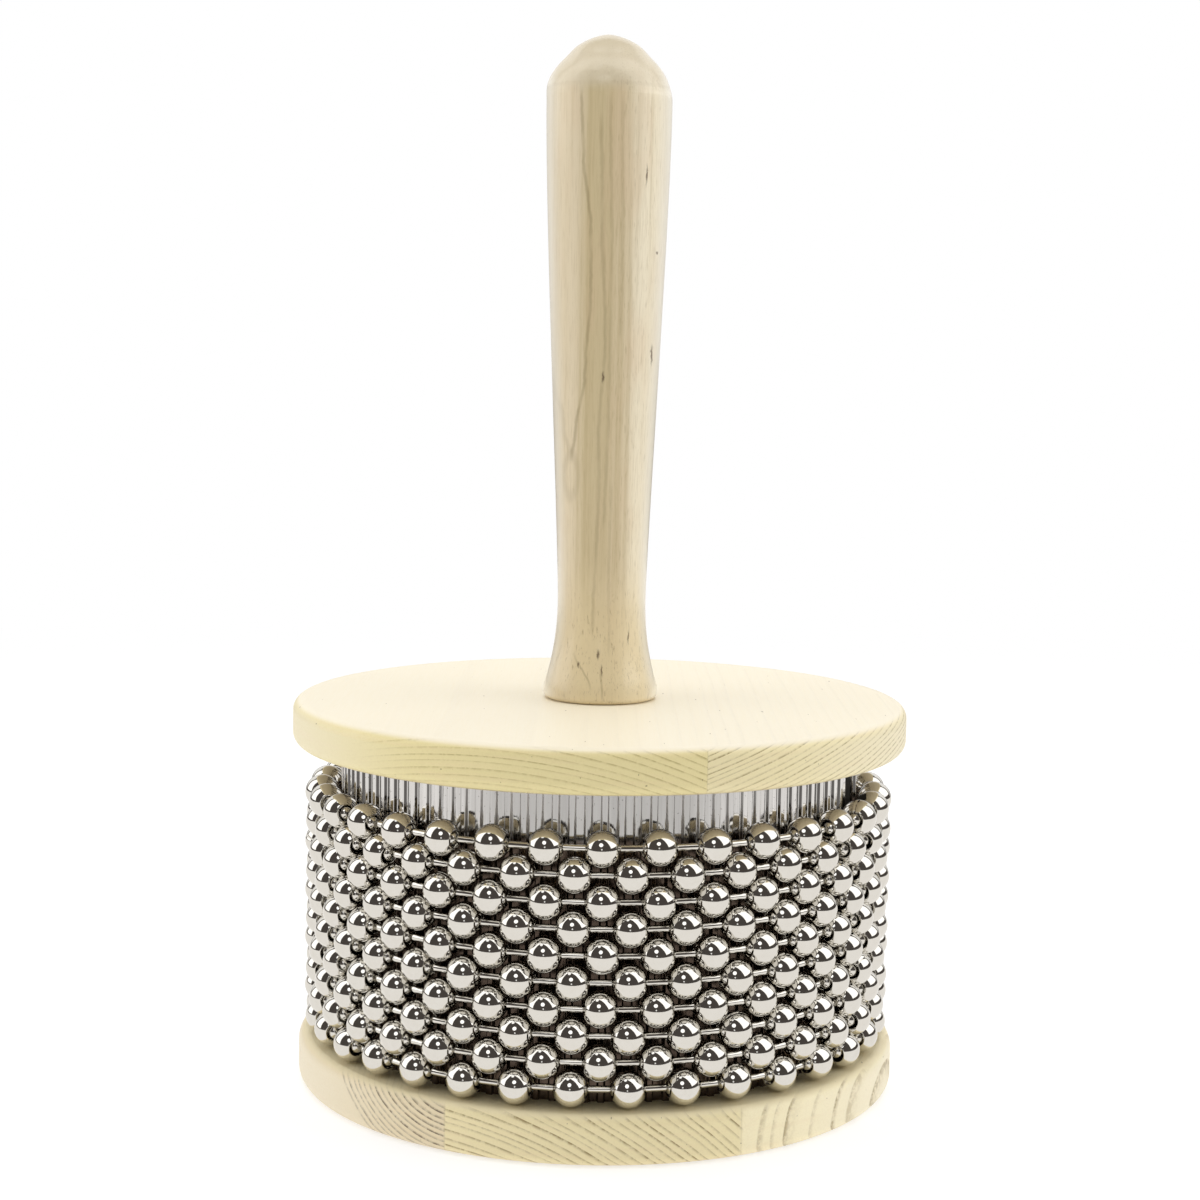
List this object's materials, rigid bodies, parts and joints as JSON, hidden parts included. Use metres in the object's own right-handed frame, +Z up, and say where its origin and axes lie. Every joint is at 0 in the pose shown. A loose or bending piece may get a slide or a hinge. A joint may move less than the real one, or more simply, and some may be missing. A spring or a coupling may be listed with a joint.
{
  "type": "cabasa",
  "caption": "Cabasa: loops of steel ball chain lie loose round a ribbed steel drum between two wooden discs, on a turned wooden handle; the beads turn round the drum to rasp.",
  "frame": {"origin": "centre of the flat underside that the instrument stands on", "axes": "+Z up the drum and the handle; -Y is the front in the picture; +X to the right"},
  "size_m": [0.1142, 0.1142, 0.1929],
  "materials": {
    "handle_wood": "clear satin lacquer",
    "disc_wood": "clear satin lacquer",
    "core_wood": "matt black stain",
    "sheet_steel": "bright rolled",
    "tack_steel": "bright",
    "screw_steel": "zinc plated",
    "bead_nickel": "polished nickel plate",
    "link_nickel": "polished nickel plate"
  },
  "bodies": {
    "drum": {"handle": "handle_wood", "top_disc": "disc_wood", "bottom_disc": "disc_wood", "core": "core_wood", "ribbed_sleeve": "sheet_steel", "sleeve_tacks": "tack_steel", "handle_screw": "screw_steel", "base_screws": "screw_steel"},
    "loop_01": {"loop_01_beads": "bead_nickel", "loop_01_links": "link_nickel"},
    "loop_02": {"loop_02_beads": "bead_nickel", "loop_02_links": "link_nickel"},
    "loop_03": {"loop_03_beads": "bead_nickel", "loop_03_links": "link_nickel"},
    "loop_04": {"loop_04_beads": "bead_nickel", "loop_04_links": "link_nickel"},
    "loop_05": {"loop_05_beads": "bead_nickel", "loop_05_links": "link_nickel"},
    "loop_06": {"loop_06_beads": "bead_nickel", "loop_06_links": "link_nickel"},
    "loop_07": {"loop_07_beads": "bead_nickel", "loop_07_links": "link_nickel"},
    "loop_08": {"loop_08_beads": "bead_nickel", "loop_08_links": "link_nickel"},
    "loop_09": {"loop_09_beads": "bead_nickel", "loop_09_links": "link_nickel"},
    "loop_10": {"loop_10_beads": "bead_nickel", "loop_10_links": "link_nickel"}
  },
  "joints": [
    {"name": "beads_turn", "type": "hinge", "parent": "drum", "child": "loop_01", "pos_m": [0, 0, 0.01227], "axis": [0, 0, 1], "continuous": true},
    {"name": "loop_02_lift", "type": "slide", "parent": "loop_01", "child": "loop_02", "axis": [0, 0, 1], "range_m": [0, 0.000683]},
    {"name": "loop_03_lift", "type": "slide", "parent": "loop_02", "child": "loop_03", "axis": [0, 0, 1], "range_m": [0, 0.000683]},
    {"name": "loop_04_lift", "type": "slide", "parent": "loop_03", "child": "loop_04", "axis": [0, 0, 1], "range_m": [0, 0.000683]},
    {"name": "loop_05_lift", "type": "slide", "parent": "loop_04", "child": "loop_05", "axis": [0, 0, 1], "range_m": [0, 0.000683]},
    {"name": "loop_06_lift", "type": "slide", "parent": "loop_05", "child": "loop_06", "axis": [0, 0, 1], "range_m": [0, 0.000683]},
    {"name": "loop_07_lift", "type": "slide", "parent": "loop_06", "child": "loop_07", "axis": [0, 0, 1], "range_m": [0, 0.000683]},
    {"name": "loop_08_lift", "type": "slide", "parent": "loop_07", "child": "loop_08", "axis": [0, 0, 1], "range_m": [0, 0.000683]},
    {"name": "loop_09_lift", "type": "slide", "parent": "loop_08", "child": "loop_09", "axis": [0, 0, 1], "range_m": [0, 0.000683]},
    {"name": "loop_10_lift", "type": "slide", "parent": "loop_09", "child": "loop_10", "axis": [0, 0, 1], "range_m": [0, 0.000683]}
  ]
}
